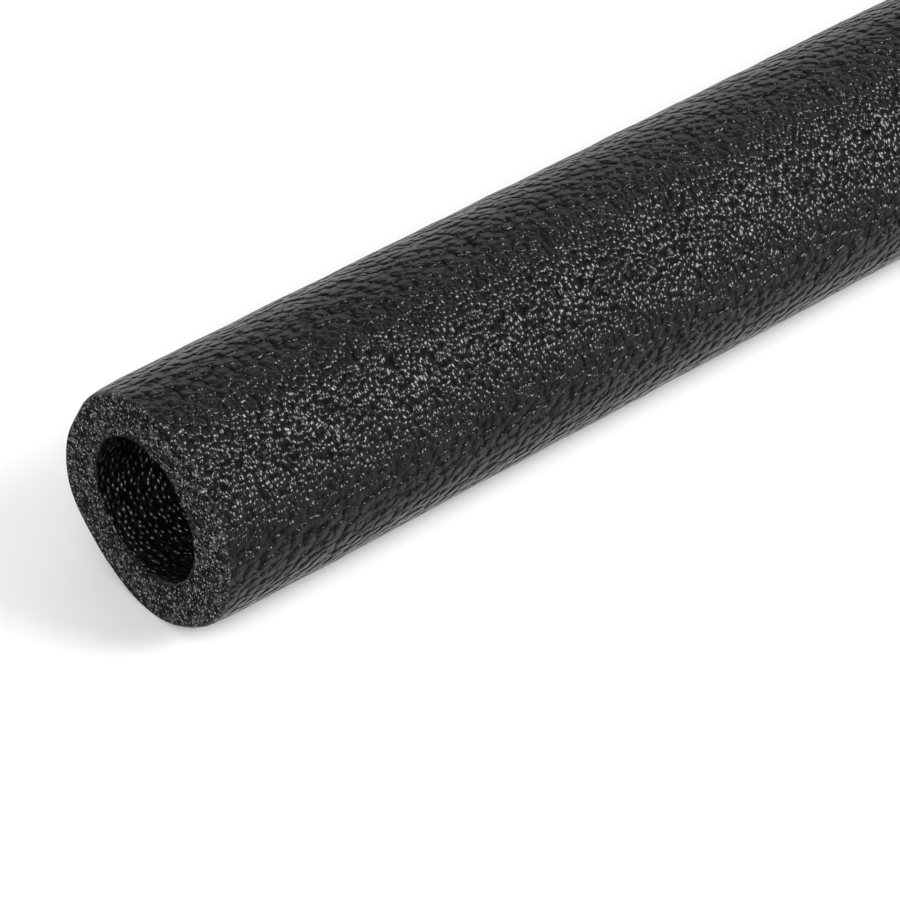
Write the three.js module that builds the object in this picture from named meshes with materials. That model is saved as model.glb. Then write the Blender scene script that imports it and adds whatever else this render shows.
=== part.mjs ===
// Foam pipe insulation: one stock length of round closed-cell foam tube, extruded in one piece
// and cut square at both ends. Millimetres, +Z up. The tube lies along X on the plane z = 0,
// with the origin under the middle of its length.
import * as THREE from "three";

// Sizes that a maker would set.
const LENGTH = 1000; // one stock length, cut end to cut end
const PIPE_BORE = 28; // across the bore: the outside diameter of the pipe that it covers
const WALL = 9; // foam between the bore and the outer skin
const OUTER_RIM_RADIUS = 0.8; // soft corner where the skin meets a cut end
const BORE_RIM_RADIUS = 0.5; // soft corner where the bore meets a cut end

// Fineness of the faceted surface.
const SIDES = 48; // flats round the tube, with one of them on the ground
const RIM_ARC_DIVISIONS = 2; // half the number of flats across a soft corner

const boreRadius = PIPE_BORE / 2;
const outerRadius = boreRadius + WALL;
const halfLength = LENGTH / 2;
const halfSideAngle = Math.PI / SIDES;

// The cut through the wall on one side of the tube, with x as the distance from the axis and y
// along the axis: a long rectangle with soft corners, run through from the bore outwards.
function wallSection() {
  const boreArcCentre = boreRadius + BORE_RIM_RADIUS;
  const boreArcEnd = halfLength - BORE_RIM_RADIUS;
  const outerArcCentre = outerRadius - OUTER_RIM_RADIUS;
  const outerArcEnd = halfLength - OUTER_RIM_RADIUS;
  const quarter = Math.PI / 2;

  const section = new THREE.Path();
  section.absarc(boreArcCentre, -boreArcEnd, BORE_RIM_RADIUS, 2 * quarter, 3 * quarter, false);
  section.absarc(outerArcCentre, -outerArcEnd, OUTER_RIM_RADIUS, 3 * quarter, 4 * quarter, false);
  section.absarc(outerArcCentre, outerArcEnd, OUTER_RIM_RADIUS, 0, quarter, false);
  section.absarc(boreArcCentre, boreArcEnd, BORE_RIM_RADIUS, quarter, 2 * quarter, false);
  section.closePath();
  return section.getPoints(RIM_ARC_DIVISIONS);
}

// Turns the section round the axis. The corners between flats stand a little outside the true
// circles, so that the flats touch them and the tube measures its nominal size across flats.
function foamTubeGeometry() {
  const cornerStretch = 1 / Math.cos(halfSideAngle);
  const profile = wallSection().map((p) => new THREE.Vector2(p.x * cornerStretch, p.y));
  return new THREE.LatheGeometry(profile, SIDES, halfSideAngle, 2 * Math.PI);
}

function makeFoamTube() {
  const charcoalFoam = new THREE.MeshStandardMaterial({
    color: 0x2f3031,
    roughness: 0.7,
    metalness: 0,
  });
  const tube = new THREE.Mesh(foamTubeGeometry(), charcoalFoam);
  tube.name = "foam_tube";
  tube.rotation.z = -Math.PI / 2; // the turning axis goes from Y to X
  tube.position.z = outerRadius;
  return tube;
}

const pipeInsulation = new THREE.Group();
pipeInsulation.add(makeFoamTube());

export default pipeInsulation;
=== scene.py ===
import math

import bmesh
import bpy
from mathutils import Matrix, Vector, noise


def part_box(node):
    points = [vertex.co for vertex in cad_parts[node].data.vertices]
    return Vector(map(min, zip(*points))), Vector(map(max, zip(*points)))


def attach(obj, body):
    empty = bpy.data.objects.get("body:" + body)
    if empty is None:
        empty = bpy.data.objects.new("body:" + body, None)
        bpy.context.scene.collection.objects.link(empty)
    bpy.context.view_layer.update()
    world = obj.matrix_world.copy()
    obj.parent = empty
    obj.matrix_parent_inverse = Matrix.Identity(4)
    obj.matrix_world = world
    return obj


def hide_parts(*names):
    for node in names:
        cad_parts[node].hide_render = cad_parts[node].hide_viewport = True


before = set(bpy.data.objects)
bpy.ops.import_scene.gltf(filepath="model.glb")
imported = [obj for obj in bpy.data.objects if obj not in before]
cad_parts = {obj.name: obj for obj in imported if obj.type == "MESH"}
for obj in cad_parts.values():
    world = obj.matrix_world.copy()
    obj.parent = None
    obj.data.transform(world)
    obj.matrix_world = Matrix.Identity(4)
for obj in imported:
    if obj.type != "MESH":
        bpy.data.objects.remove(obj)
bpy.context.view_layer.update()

# Foam tube: the whole object, one length of round closed-cell polyethylene foam. It is extruded
# in one piece, so skin, wall and bore are one body, and a blade cuts both ends square. Being
# soft, it is a little out of round, and its surface swells and sinks softly along its length.
PIPE_BORE = 0.028  # across the bore, which the pipe fills
OUTER_RIM = 0.0008  # soft corner between the skin and a cut end
BORE_RIM = 0.0005  # soft corner between the bore and a cut end
RIM_STEPS = 4
SIDES = 96
SKIN_CUTS = 680  # enough rings of mesh along the skin to carry its soft swells
BORE_CUTS = 220
END_CUTS = 6
TINY = 1e-6

tube_low, tube_high = (Vector(corner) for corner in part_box("foam_tube"))
half_length = (tube_high.x - tube_low.x) / 2
outer_radius = (tube_high.z - tube_low.z) / 2
bore_radius = PIPE_BORE / 2
axis_height = (tube_high.z + tube_low.z) / 2

tube = bmesh.new()
section = [
    tube.verts.new((x, 0, axis_height + radius))
    for x, radius in (
        (-half_length, outer_radius),
        (half_length, outer_radius),
        (half_length, bore_radius),
        (-half_length, bore_radius),
    )
]
outline = [tube.edges.new((section[i], section[(i + 1) % 4])) for i in range(4)]
for edge, cuts in zip(outline, (SKIN_CUTS, END_CUTS, BORE_CUTS, END_CUTS)):
    bmesh.ops.subdivide_edges(tube, edges=[edge], cuts=cuts)
for radius, rim in ((outer_radius, OUTER_RIM), (bore_radius, BORE_RIM)):
    corners = [
        vert for vert in tube.verts
        if abs(vert.co.x) > half_length - TINY and abs(vert.co.z - axis_height - radius) < TINY
    ]
    bmesh.ops.bevel(
        tube, geom=corners, offset=rim, offset_type="OFFSET", affect="VERTICES",
        segments=RIM_STEPS, profile=0.5, material=-1,
    )
bmesh.ops.spin(
    tube, geom=tube.verts[:] + tube.edges[:], cent=(0, 0, axis_height), axis=(1, 0, 0),
    angle=2 * math.pi, steps=SIDES, use_merge=True, use_duplicate=False,
)
bmesh.ops.remove_doubles(tube, verts=tube.verts, dist=TINY)
bmesh.ops.recalc_face_normals(tube, faces=tube.faces)

# The three finishes of the one body: moulded skin outside, cut cells on the ends, die-drawn bore.
# A face that looks squarely along the tube is part of a cut end.
SKIN, CUT, BORE = range(3)
SQUARELY = 0.95
for face in tube.faces:
    middle = face.calc_center_median()
    reach = math.hypot(middle.y, middle.z - axis_height)
    if abs(face.normal.x) > SQUARELY:
        face.material_index = CUT
    elif reach < (bore_radius + outer_radius) / 2:
        face.material_index = BORE
    else:
        face.material_index = SKIN
    face.smooth = True

# Soft swells and hollows of the foam, some millimetres wide and a tenth of one deep.
SWELLS = ((0.009, 0.00012), (0.005, 0.00008))
# The blade squeezed the near end a little out of round. Each bulge or dent gives its direction
# round the axis in degrees from +Y, its half width and its height, and all fade along the tube.
NEAR_END_LOBES = (
    (340.0, 20.0, 0.0013), (30.0, 19.0, -0.0013), (55.0, 12.0, -0.0004), (236.0, 20.0, -0.0008),
)
LOBE_REACH = 0.004
# The bore opens a little above the middle there.
BORE_RISE = 0.0006
BORE_RISE_REACH = 0.012
# Torn cells nibble the edge of the bore at both ends, and leave the rest of the cut face alone.
NIBBLE_WIDTH = 0.0017
NIBBLE_DEPTH = 0.0005
NIBBLE_REACH = 0.0012
NIBBLE_FADE = 4
for vert in tube.verts:
    arm = Vector((0, vert.co.y, vert.co.z - axis_height))
    outward = min(max((arm.length - bore_radius) / (outer_radius - bore_radius), 0.0), 1.0)
    from_end = vert.co.x + half_length
    turn = math.degrees(math.atan2(arm.z, arm.y))
    lobes = 0.0
    for middle, half_width, height in NEAR_END_LOBES:
        away = (turn - middle + 180) % 360 - 180
        lobes += height * math.exp(-((away / half_width) ** 2))
    lobes *= outward * math.exp(-from_end / LOBE_REACH)
    swell = sum(noise.noise(vert.co / width) * depth for width, depth in SWELLS)
    from_cut = half_length - abs(vert.co.x)
    nibble = noise.noise(vert.co / NIBBLE_WIDTH) * NIBBLE_DEPTH
    nibble *= (1 - outward) ** NIBBLE_FADE * math.exp(-from_cut / NIBBLE_REACH)
    vert.co += arm.normalized() * (swell + lobes + nibble)
    vert.co.z += BORE_RISE * (1 - outward) * math.exp(-from_end / BORE_RISE_REACH)

tube_mesh = bpy.data.meshes.new("foam_tube_dressed")
tube.to_mesh(tube_mesh)
tube.free()
dressed_tube = bpy.data.objects.new("foam_tube_dressed", tube_mesh)
bpy.context.scene.collection.objects.link(dressed_tube)


def new_finish(name):
    """A bare material with its Principled shader, and short ways to add and join its nodes."""
    finish = bpy.data.materials.new(name)
    finish.use_nodes = True
    tree = finish.node_tree

    def add(kind, label, inputs=(), **settings):
        node = tree.nodes.new("ShaderNode" + kind)
        node.label = label
        for key, value in settings.items():
            setattr(node, key, value)
        for key, value in dict(inputs).items():
            if isinstance(value, bpy.types.NodeSocket):
                tree.links.new(value, node.inputs[key])
            else:
                node.inputs[key].default_value = value
        return node.outputs

    return finish, tree.nodes["Principled BSDF"].inputs, add, tree.links.new


def unrolled(add, place, radius, top):
    """A point's place on the tube's wall laid out flat.

    The flat sheet is slit along the bottom line (top = 1) or along the top line (top = -1)."""
    parts = add("SeparateXYZ", "parts of place", {"Vector": place})
    aside = add("Math", "aside", {0: parts["Y"], 1: float(top)}, operation="MULTIPLY")[0]
    rise = add("Math", "above the axis", {0: parts["Z"], 1: axis_height}, operation="SUBTRACT")[0]
    rise = add("Math", "rise", {0: rise, 1: float(top)}, operation="MULTIPLY")[0]
    turn = add("Math", "turn", {0: aside, 1: rise}, operation="ARCTAN2")[0]
    around = add("Math", "way round", {0: turn, 1: radius}, operation="MULTIPLY")[0]
    return add("CombineXYZ", "flat place", {"X": parts["X"], "Y": around})["Vector"], turn


def noise_field(add, label, place, width, detail=2.0, roughness=0.5):
    """Soft random values from 0 to 1, with spots about as wide as given."""
    return add(
        "TexNoise", label,
        {"Vector": place, "Scale": 1 / width, "Detail": detail, "Roughness": roughness},
    )["Fac"]


def warped(add, place, width, shift):
    """The place moved about at random, so that cell walls bend and cells differ in size."""
    drift = add("TexNoise", "drift of walls", {"Vector": place, "Scale": 1 / width, "Detail": 1.0})
    centred = add(
        "VectorMath", "centred", {0: drift["Color"], 1: (0.5, 0.5, 0.5)}, operation="SUBTRACT",
    )
    scaled = add("VectorMath", "size of drift", {0: centred[0], "Scale": shift}, operation="SCALE")
    return add("VectorMath", "drifted place", {0: place, 1: scaled[0]}, operation="ADD")[0]


def spread(add, label, value, low, high, to_low, to_high):
    """Stretches a value's range onto another."""
    return add(
        "MapRange", label,
        {"Value": value, "From Min": low, "From Max": high, "To Min": to_low, "To Max": to_high},
    )["Result"]


def weighed(add, label, value, weight, base=0.0):
    """A value times its weight, on top of a base."""
    return add("Math", label, {0: value, 1: weight, 2: base}, operation="MULTIPLY_ADD")[0]


def domes(add, flat, pitch, evenness, foot, softness):
    """A round dome over each foam cell, 1 at its top and 0 at its foot, a share of the pitch away.

    The creases between domes are rounded by the softness, from 0 to 1."""
    pattern = {
        "Vector": flat, "Scale": 1 / pitch, "Randomness": evenness, "Smoothness": softness,
    }
    cells = add("TexVoronoi", "cells", pattern, feature="SMOOTH_F1", voronoi_dimensions="2D")
    share = add("Math", "way to the foot", {0: cells["Distance"], 1: foot}, operation="DIVIDE")[0]
    square = add("Math", "square", {0: share, 1: share}, operation="MULTIPLY")[0]
    under_top = add(
        "Math", "under the top", {0: 1.0, 1: square}, operation="SUBTRACT", use_clamp=True,
    )[0]
    return add("Math", "dome", {0: under_top}, operation="SQRT")[0]


STRIP_START = 2.85
STRIP_FULL = 3.0


def joined(add, turn, first, second):
    """The first layout's value, and the second's along the bottom, where the first is slit.

    The turn from the top, in radians, says where that strip starts and is full."""
    away = add("Math", "away from the top", {0: turn}, operation="ABSOLUTE")[0]
    strip = spread(add, "strip at the bottom", away, STRIP_START, STRIP_FULL, 0.0, 1.0)
    return add("Mix", "one sheet", {"Factor": strip, "A": first, "B": second})["Result"]


CLUMP = 0.0011
TORN_WALL = 0.00035
CLUMP_SHARE = 0.45
SHRED = 0.0005
PIT_SHADE_TONE = 0.001
WALL_TONE = 0.25
SHRED_GLINT_TONE = 0.42


def open_cells(add, place):
    """Foam cells that a blade has opened: a fuzz of torn walls round pits, with a few shreds of
    film. Returns their height, from 0 to 1, and their tone, which paints shade into the pits and
    glints onto a few shreds."""
    clumps = noise_field(add, "clumps of cells", place, CLUMP, 2.0, 0.6)
    fuzz = noise_field(add, "torn walls", place, TORN_WALL, 2.0, 0.7)
    fuzz = weighed(add, "fuzz", fuzz, 1 - CLUMP_SHARE)
    both = weighed(add, "clumps and torn walls", clumps, CLUMP_SHARE, fuzz)
    lit = spread(add, "walls stand out of pits", both, 0.46, 0.67, 0.0, 1.0)
    lit = add("Math", "pits stay dark", {0: lit, 1: 2.0}, operation="POWER")[0]
    pattern = {"Vector": place, "Scale": 1 / SHRED}
    shreds = add("TexVoronoi", "shreds of film", pattern, feature="F1")
    shred = spread(add, "one shred", shreds["Distance"], 0.2, 0.45, 1.0, 0.0)
    chance = add("SeparateColor", "chance", {"Color": shreds["Color"]})["Red"]
    chance = spread(add, "few shreds shine", chance, 0.6, 1.0, 0.0, 1.0)
    shine = add("Math", "shining shreds", {0: shred, 1: chance}, operation="MULTIPLY")[0]
    # Painted shade darkens the pits, and painted glints lighten a few shreds.
    tone = weighed(add, "walls lighter than pits", lit, WALL_TONE, PIT_SHADE_TONE)
    return both, weighed(add, "shreds lighter still", shine, SHRED_GLINT_TONE, tone)


CUT_DEPTH = 0.0014
CUT_ROUGHNESS = 0.4
RAGGED_WIDTH = 0.001


def fray(add, place, reach):
    """How frayed the film is: 1 at a cut end, and 0 a ragged reach away from it."""
    along = add("SeparateXYZ", "parts of place", {"Vector": place})["X"]
    along = add("Math", "from the middle", {0: along}, operation="ABSOLUTE")[0]
    inward = add("Math", "from the end", {0: half_length, 1: along}, operation="SUBTRACT")[0]
    ragged = noise_field(add, "ragged edge", place, RAGGED_WIDTH, 3.0, 0.6)
    inward = weighed(add, "ragged way from the end", ragged, -2 * reach, inward)
    return spread(add, "fray", inward, -0.4 * reach, 0.0, 1.0, 0.0)


def between(add, label, share, first, second):
    """The first value where the share is 0, and the second where it is 1."""
    return add("Mix", label, {"Factor": share, "A": first, "B": second})["Result"]


# Skin of the tube: the cells next to the die are stretched into a glossy film that sits on them
# like a blistered sheet. Blisters stand on wider swellings in a fine band, and larger flat pillows
# take their place elsewhere, with creases round them all that hold painted shade.
skin, skin_inputs, add, join = new_finish("charcoal_blistered_skin")
place = add("TexCoord", "place on the tube")["Object"]
BLISTER = 0.00095
BLISTER_DOME = 0.0005
BLISTER_STRETCH = 1.25
SWELLING = 0.0026
SWELLING_DOME = 0.0007
PILLOW = 0.0023
PILLOW_DOME = 0.00115
PILLOW_STRETCH = 1.15
BLISTER_FOOT = 0.9
PILLOW_FOOT = 0.62
BLISTER_SOFTNESS = 0.1
PILLOW_SOFTNESS = 0.05
SKIN_DRIFT = 0.003
SWELLING_SHIFT = 0.0012
BLISTER_SHIFT = 0.0010
PILLOW_DRIFT = 0.004
PILLOW_SHIFT = 0.0012
swelling_layers = []
blister_layers = []
pillow_layers = []
for top in (1, -1):
    flat, turn = unrolled(add, place, outer_radius / BLISTER_STRETCH, top)
    if top == 1:
        skin_turn = turn
    bent = warped(add, flat, SKIN_DRIFT, SWELLING_SHIFT)
    swelling_layers.append(domes(add, bent, SWELLING, 1.0, BLISTER_FOOT, BLISTER_SOFTNESS))
    bent = warped(add, flat, SKIN_DRIFT, BLISTER_SHIFT)
    blister_layers.append(domes(add, bent, BLISTER, 1.0, BLISTER_FOOT, BLISTER_SOFTNESS))
    flat, _ = unrolled(add, place, outer_radius * PILLOW_STRETCH, top)
    bent = warped(add, flat, PILLOW_DRIFT, PILLOW_SHIFT)
    pillow_layers.append(domes(add, bent, PILLOW, 1.0, PILLOW_FOOT, PILLOW_SOFTNESS))
swellings = joined(add, skin_turn, *swelling_layers)
blisters = joined(add, skin_turn, *blister_layers)
blisters = add("Math", "round blisters", {0: blisters, 1: 2.0}, operation="POWER")[0]
pillows = joined(add, skin_turn, *pillow_layers)

# The fine band runs along the tube, high on one side. It is given by the turn of its middle from
# the top and by the turns from there at which it starts to coarsen and is coarse, in radians.
FINE_BAND_TURN = -0.77
FINE_BAND_REACH = 0.42
COARSE_FROM = 0.75
UNEVEN_WIDTH = 0.0024
UNEVEN_DEPTH = 0.0006
away = add(
    "Math", "turn from the fine band", {0: skin_turn, 1: -FINE_BAND_TURN}, operation="ADD",
)[0]
away = add("Math", "away from the fine band", {0: away}, operation="ABSOLUTE")[0]
coarse = spread(add, "coarse outside the band", away, FINE_BAND_REACH, COARSE_FROM, 0.0, 1.0)
swelling_height = weighed(add, "height of swellings", swellings, SWELLING_DOME)
pillow_height = weighed(add, "height of pillows", pillows, PILLOW_DOME)
relief = between(add, "fine or coarse", coarse, swelling_height, pillow_height)
uneven = noise_field(add, "uneven film", place, UNEVEN_WIDTH, 1.0)
relief = weighed(add, "uneven film on cells", uneven, UNEVEN_DEPTH, relief)

# One long shallow crease runs near the top of the tube, from the near end, a little askew. Its
# ends are given by the place along the tube and the way round the skin from the top.
CREASE_START = (-0.499, -0.0087)
CREASE_END = (-0.466, -0.0035)
CREASE_HALF_WIDTH = 0.0004
CREASE_DEPTH = 0.0003
CREASE_FADE = 0.006
along = add("SeparateXYZ", "parts of place", {"Vector": place})["X"]
way_round = weighed(add, "way round from the top", skin_turn, outer_radius)
crease_line = spread(
    add, "line of the crease", along,
    CREASE_START[0], CREASE_END[0], CREASE_START[1], CREASE_END[1],
)
aside = add("Math", "aside of the crease", {0: way_round, 1: crease_line}, operation="SUBTRACT")[0]
aside = add("Math", "distance aside", {0: aside}, operation="ABSOLUTE")[0]
creased = spread(add, "crease", aside, 0.0, CREASE_HALF_WIDTH, -CREASE_DEPTH, 0.0)
faded = spread(
    add, "crease fades out", along, CREASE_END[0] - CREASE_FADE, CREASE_END[0], 1.0, 0.0,
)
relief = weighed(add, "crease in the film", creased, faded, relief)

# Blisters stand higher in some patches than in others, and the film is finely wrinkled in a few.
FLAT_PATCH = 0.006
WRINKLED_PATCH = 0.004
WRINKLE = 0.0006
WRINKLE_DEPTH = 0.00012
patches = noise_field(add, "patches of flatter film", place, FLAT_PATCH)
blister_height = spread(
    add, "height of blisters", patches, 0.35, 0.65, 0.7 * BLISTER_DOME, 1.2 * BLISTER_DOME,
)
flatter = spread(add, "flatter where it is coarse", coarse, 0.0, 1.0, 1.0, 0.35)
blister_height = weighed(add, "height there", blister_height, flatter)
middled = add("Math", "middled", {0: blisters, 1: 0.6}, operation="SUBTRACT")[0]
relief = weighed(add, "blisters on cells", middled, blister_height, relief)
wrinkles = noise_field(add, "patches of fine wrinkles", place, WRINKLED_PATCH)
wrinkle_height = spread(add, "height of wrinkles", wrinkles, 0.55, 0.65, 0.000002, WRINKLE_DEPTH)
film = noise_field(add, "wrinkled film", place, WRINKLE)
relief = weighed(add, "wrinkles on blisters", film, wrinkle_height, relief)

# At the cut ends the film is torn a little way back, down to open cells like those of the face.
FRAY_REACH = 0.0014
FRAYED_SHINE = 0.2
frayed = fray(add, place, FRAY_REACH)
torn, torn_tone = open_cells(add, place)
torn_height = weighed(add, "depth of torn cells", torn, CUT_DEPTH)
relief = between(add, "torn at the ends", frayed, relief, torn_height)
bump = add("Bump", "cell relief", {"Height": relief, "Distance": 1.0})
join(bump["Normal"], skin_inputs["Normal"])

# The film is black and glossy, and a little duller where it is wrinkled. Its colour holds painted
# shade: darker in the creases between blisters than on their tops. At the frayed ends it takes the
# torn cells' tone, with their painted shade and glints.
CREASE_SHADE_TONE = 0.001
TOP_TONE = 0.004
GLOSS = 0.17
DULL_GLOSS = 0.27
tone = spread(add, "creases hold less light", blisters, 0.3, 0.9, CREASE_SHADE_TONE, TOP_TONE)
join(between(add, "fuzz at the ends", frayed, tone, torn_tone), skin_inputs["Base Color"])
gloss = spread(add, "duller where the film is wrinkled", film, 0.35, 0.65, GLOSS, DULL_GLOSS)
join(between(add, "dull at the ends", frayed, gloss, CUT_ROUGHNESS), skin_inputs["Roughness"])
skin_inputs["Specular IOR Level"].default_value = 0.5

# Painted shade in the reflection colour: the specular tint is darker in the creases of blisters,
# the gaps between pillows and the hollows between swellings, where the film would mirror only the
# next cell.
crease = spread(add, "dark creases of blisters", blisters, 0.55, 0.8, 0.3, 1.0)
gap = spread(add, "dark gaps of pillows", pillows, 0.5, 1.0, 0.1, 0.9)
dark = between(add, "dark places", coarse, crease, gap)
hollow = spread(add, "hollows between swellings", swellings, 0.55, 0.95, 0.5, 1.0)
hollow = between(add, "only in the fine band", coarse, hollow, 1.0)
dark = add("Math", "both", {0: dark, 1: hollow}, operation="MULTIPLY")[0]
join(between(add, "dull at the ends", frayed, dark, FRAYED_SHINE), skin_inputs["Specular Tint"])

# Cut ends: the blade opens the cells, so the face is a fuzz of torn walls round pits, with painted
# shade in the pits and painted glints on a few shreds. A ragged ring next to the bore has deeper
# painted shade, standing for cells torn out deeper there.
cut, cut_inputs, add, join = new_finish("charcoal_cut_cells")
place = add("TexCoord", "place on the tube")["Object"]
torn, torn_tone = open_cells(add, place)
bump = add("Bump", "open cell relief", {"Height": torn, "Distance": CUT_DEPTH})
join(bump["Normal"], cut_inputs["Normal"])
parts = add("SeparateXYZ", "parts of place", {"Vector": place})
rise = add("Math", "above the axis", {0: parts["Z"], 1: axis_height}, operation="SUBTRACT")[0]
arm = add("CombineXYZ", "arm from the axis", {"Y": parts["Y"], "Z": rise})["Vector"]
reach = add("VectorMath", "way from the axis", {0: arm}, operation="LENGTH")["Value"]
ragged = noise_field(add, "ragged edge", place, RAGGED_WIDTH, 3.0, 0.6)
RAGGED_SHIFT = 0.003
RING_DARK_TO = 0.0011
RING_GONE_AT = 0.0022
reach = weighed(add, "ragged way from the axis", ragged, RAGGED_SHIFT, reach)
shade = spread(
    add, "pits round the bore", reach,
    bore_radius + RING_DARK_TO, bore_radius + RING_GONE_AT, 0.1, 1.0,
)
tone = add("Math", "darker round the bore", {0: torn_tone, 1: shade}, operation="MULTIPLY")[0]
join(tone, cut_inputs["Base Color"])
cut_inputs["Roughness"].default_value = CUT_ROUGHNESS
cut_inputs["Specular IOR Level"].default_value = 0.02

# Bore: the mandrel leaves a closed film here too. It is flatter and duller than the skin, with
# small round domes in it, and some patches of them shine less. Its colour holds painted shade,
# darker in the creases between domes than on their tops.
bore, bore_inputs, add, join = new_finish("charcoal_bore_film")
place = add("TexCoord", "place on the tube")["Object"]
BORE_CELL = 0.0012
BORE_STRETCH = 1.15
BORE_DOME = 0.0003
BORE_DRIFT = 0.003
BORE_SHIFT = 0.0008
BORE_EVENNESS = 0.9
BORE_FOOT = 0.45
BORE_SOFTNESS = 0.05
BORE_CREASE_SHADE_TONE = 0.001
BORE_TOP_TONE = 0.003
bore_layers = []
for top in (1, -1):
    flat, turn = unrolled(add, place, bore_radius / BORE_STRETCH, top)
    if top == 1:
        bore_turn = turn
    bent = warped(add, flat, BORE_DRIFT, BORE_SHIFT)
    bore_layers.append(domes(add, bent, BORE_CELL, BORE_EVENNESS, BORE_FOOT, BORE_SOFTNESS))
bubbles = joined(add, bore_turn, *bore_layers)
bubbles = add("Math", "soft feet", {0: bubbles, 1: 2.0}, operation="POWER")[0]
relief = weighed(add, "height of domes", bubbles, BORE_DOME)
bump = add("Bump", "cell relief", {"Height": relief, "Distance": 1.0})
join(bump["Normal"], bore_inputs["Normal"])
tone = spread(
    add, "creases hold less light", bubbles, 0.0, 1.0, BORE_CREASE_SHADE_TONE, BORE_TOP_TONE,
)
join(tone, bore_inputs["Base Color"])
bore_inputs["Roughness"].default_value = 0.4
bore_inputs["Specular IOR Level"].default_value = 0.8
DULL_PATCH = 0.0018
patches = noise_field(add, "patches of duller film", place, DULL_PATCH, 1.0)
dulled = spread(add, "some domes shine less", patches, 0.38, 0.62, 0.25, 1.0)
join(dulled, bore_inputs["Specular Tint"])

for finish in (skin, cut, bore):
    tube_mesh.materials.append(finish)
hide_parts("foam_tube")
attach(dressed_tube, "root")

# Floor: a plain pale sweep that the tube lies on, far larger than any view of it.
FLOOR_HALF = 15.0
PALE_GREY = (0.8, 0.8, 0.8, 1)
floor = bmesh.new()
bmesh.ops.create_grid(floor, x_segments=1, y_segments=1, size=FLOOR_HALF)
floor_mesh = bpy.data.meshes.new("floor")
floor.to_mesh(floor_mesh)
floor.free()
floor_object = bpy.data.objects.new("floor", floor_mesh)
bpy.context.scene.collection.objects.link(floor_object)
pale, pale_inputs, add, join = new_finish("pale_floor")
pale_inputs["Base Color"].default_value = PALE_GREY
pale_inputs["Roughness"].default_value = 0.9
pale_inputs["Specular IOR Level"].default_value = 0.1
floor_mesh.materials.append(pale)
floor_object.visible_glossy = False

# Camera: a long lens that looks down on the near end from beside it. Its place is set from the
# middle of that end, and its turn from the direction that it looks in.
CAMERA_LENS = 180
CAMERA_SENSOR = 36
CAMERA_FROM_END = (-0.3487, -0.4962, 0.4982)
CAMERA_RIGHT = (0.76452, -0.64460, 0)
CAMERA_FORWARD = (0.50297, 0.59655, -0.62530)
near_end = Vector((tube_low.x, 0, axis_height))
camera_data = bpy.data.cameras.new("camera")
camera_data.lens = CAMERA_LENS
camera_data.sensor_width = CAMERA_SENSOR
camera_data.clip_start = 0.01
camera = bpy.data.objects.new("camera", camera_data)
right = Vector(CAMERA_RIGHT).normalized()
forward = Vector(CAMERA_FORWARD).normalized()
up = right.cross(forward)
camera.matrix_world = Matrix.Translation(near_end + Vector(CAMERA_FROM_END)) @ Matrix(
    (
        (right.x, up.x, -forward.x, 0),
        (right.y, up.y, -forward.y, 0),
        (right.z, up.z, -forward.z, 0),
        (0, 0, 0, 1),
    )
)
bpy.context.scene.collection.objects.link(camera)
bpy.context.scene.camera = camera

LIT_PART = Vector((0.08, 0, 0))


def softbox(name, direction, distance, size, power):
    """A square light panel that faces the near part of the tube from one direction."""
    panel_data = bpy.data.lights.new(name, "AREA")
    panel_data.shape = "SQUARE"
    panel_data.size = size
    panel_data.energy = power
    panel = bpy.data.objects.new(name, panel_data)
    aim = near_end + LIT_PART
    toward = Vector(direction).normalized()
    panel.location = aim + toward * distance
    panel.rotation_euler = toward.to_track_quat("Z", "Y").to_euler()
    panel.visible_camera = False
    bpy.context.scene.collection.objects.link(panel)
    return panel


# Light: soft studio panels. The main one stands where the skin mirrors it to the camera, one
# lights the cut end, and a large one overhead only evens out the floor and isn't mirrored.
softbox("main_panel", (0.503, -0.65, 0.57), distance=1.2, size=0.64, power=18.5)
softbox("end_panel", (-0.65, -0.5, 0.55), distance=1.2, size=0.6, power=11)
overhead = softbox("overhead_panel", (0, 0, 1), distance=2.5, size=4, power=45)
overhead.visible_glossy = False

# Studio: a dim room, lighter beyond the tube as the camera sees it, and a little lighter below.
# The skin mirrors it on the sides of its domes that face away from the panels.
ROOM_DIM = 0.27
FAR_SIDE = (0.63, 0.735, -0.25)
FAR_LIGHT = 0.34
LOW_LIGHT = 0.18
world = bpy.data.worlds.new("studio")
world.use_nodes = True
backdrop = world.node_tree.nodes["Background"]


def room_part(kind, inputs, **settings):
    """Adds a node to the studio and sets or joins its inputs."""
    node = world.node_tree.nodes.new("ShaderNode" + kind)
    for key, value in settings.items():
        setattr(node, key, value)
    for key, value in inputs.items():
        if isinstance(value, bpy.types.NodeSocket):
            world.node_tree.links.new(value, node.inputs[key])
        else:
            node.inputs[key].default_value = value
    return node.outputs


direction = room_part("TexCoord", {})["Generated"]
toward_far = room_part("VectorMath", {0: direction, 1: FAR_SIDE}, operation="DOT_PRODUCT")["Value"]
strength = room_part(
    "MapRange",
    {
        "Value": toward_far, "From Min": 0.4, "From Max": 0.9,
        "To Min": ROOM_DIM, "To Max": ROOM_DIM + FAR_LIGHT,
    },
    interpolation_type="SMOOTHSTEP",
)["Result"]
height = room_part("SeparateXYZ", {"Vector": direction})["Z"]
low = room_part(
    "MapRange",
    {"Value": height, "From Min": -0.3, "From Max": 0.0, "To Min": LOW_LIGHT, "To Max": 0.0},
)["Result"]
strength = room_part("Math", {0: strength, 1: low}, operation="ADD")["Value"]
world.node_tree.links.new(strength, backdrop.inputs["Strength"])
backdrop.inputs["Color"].default_value = (1, 1, 1, 1)
bpy.context.scene.world = world
bpy.context.scene.view_settings.view_transform = "Standard"
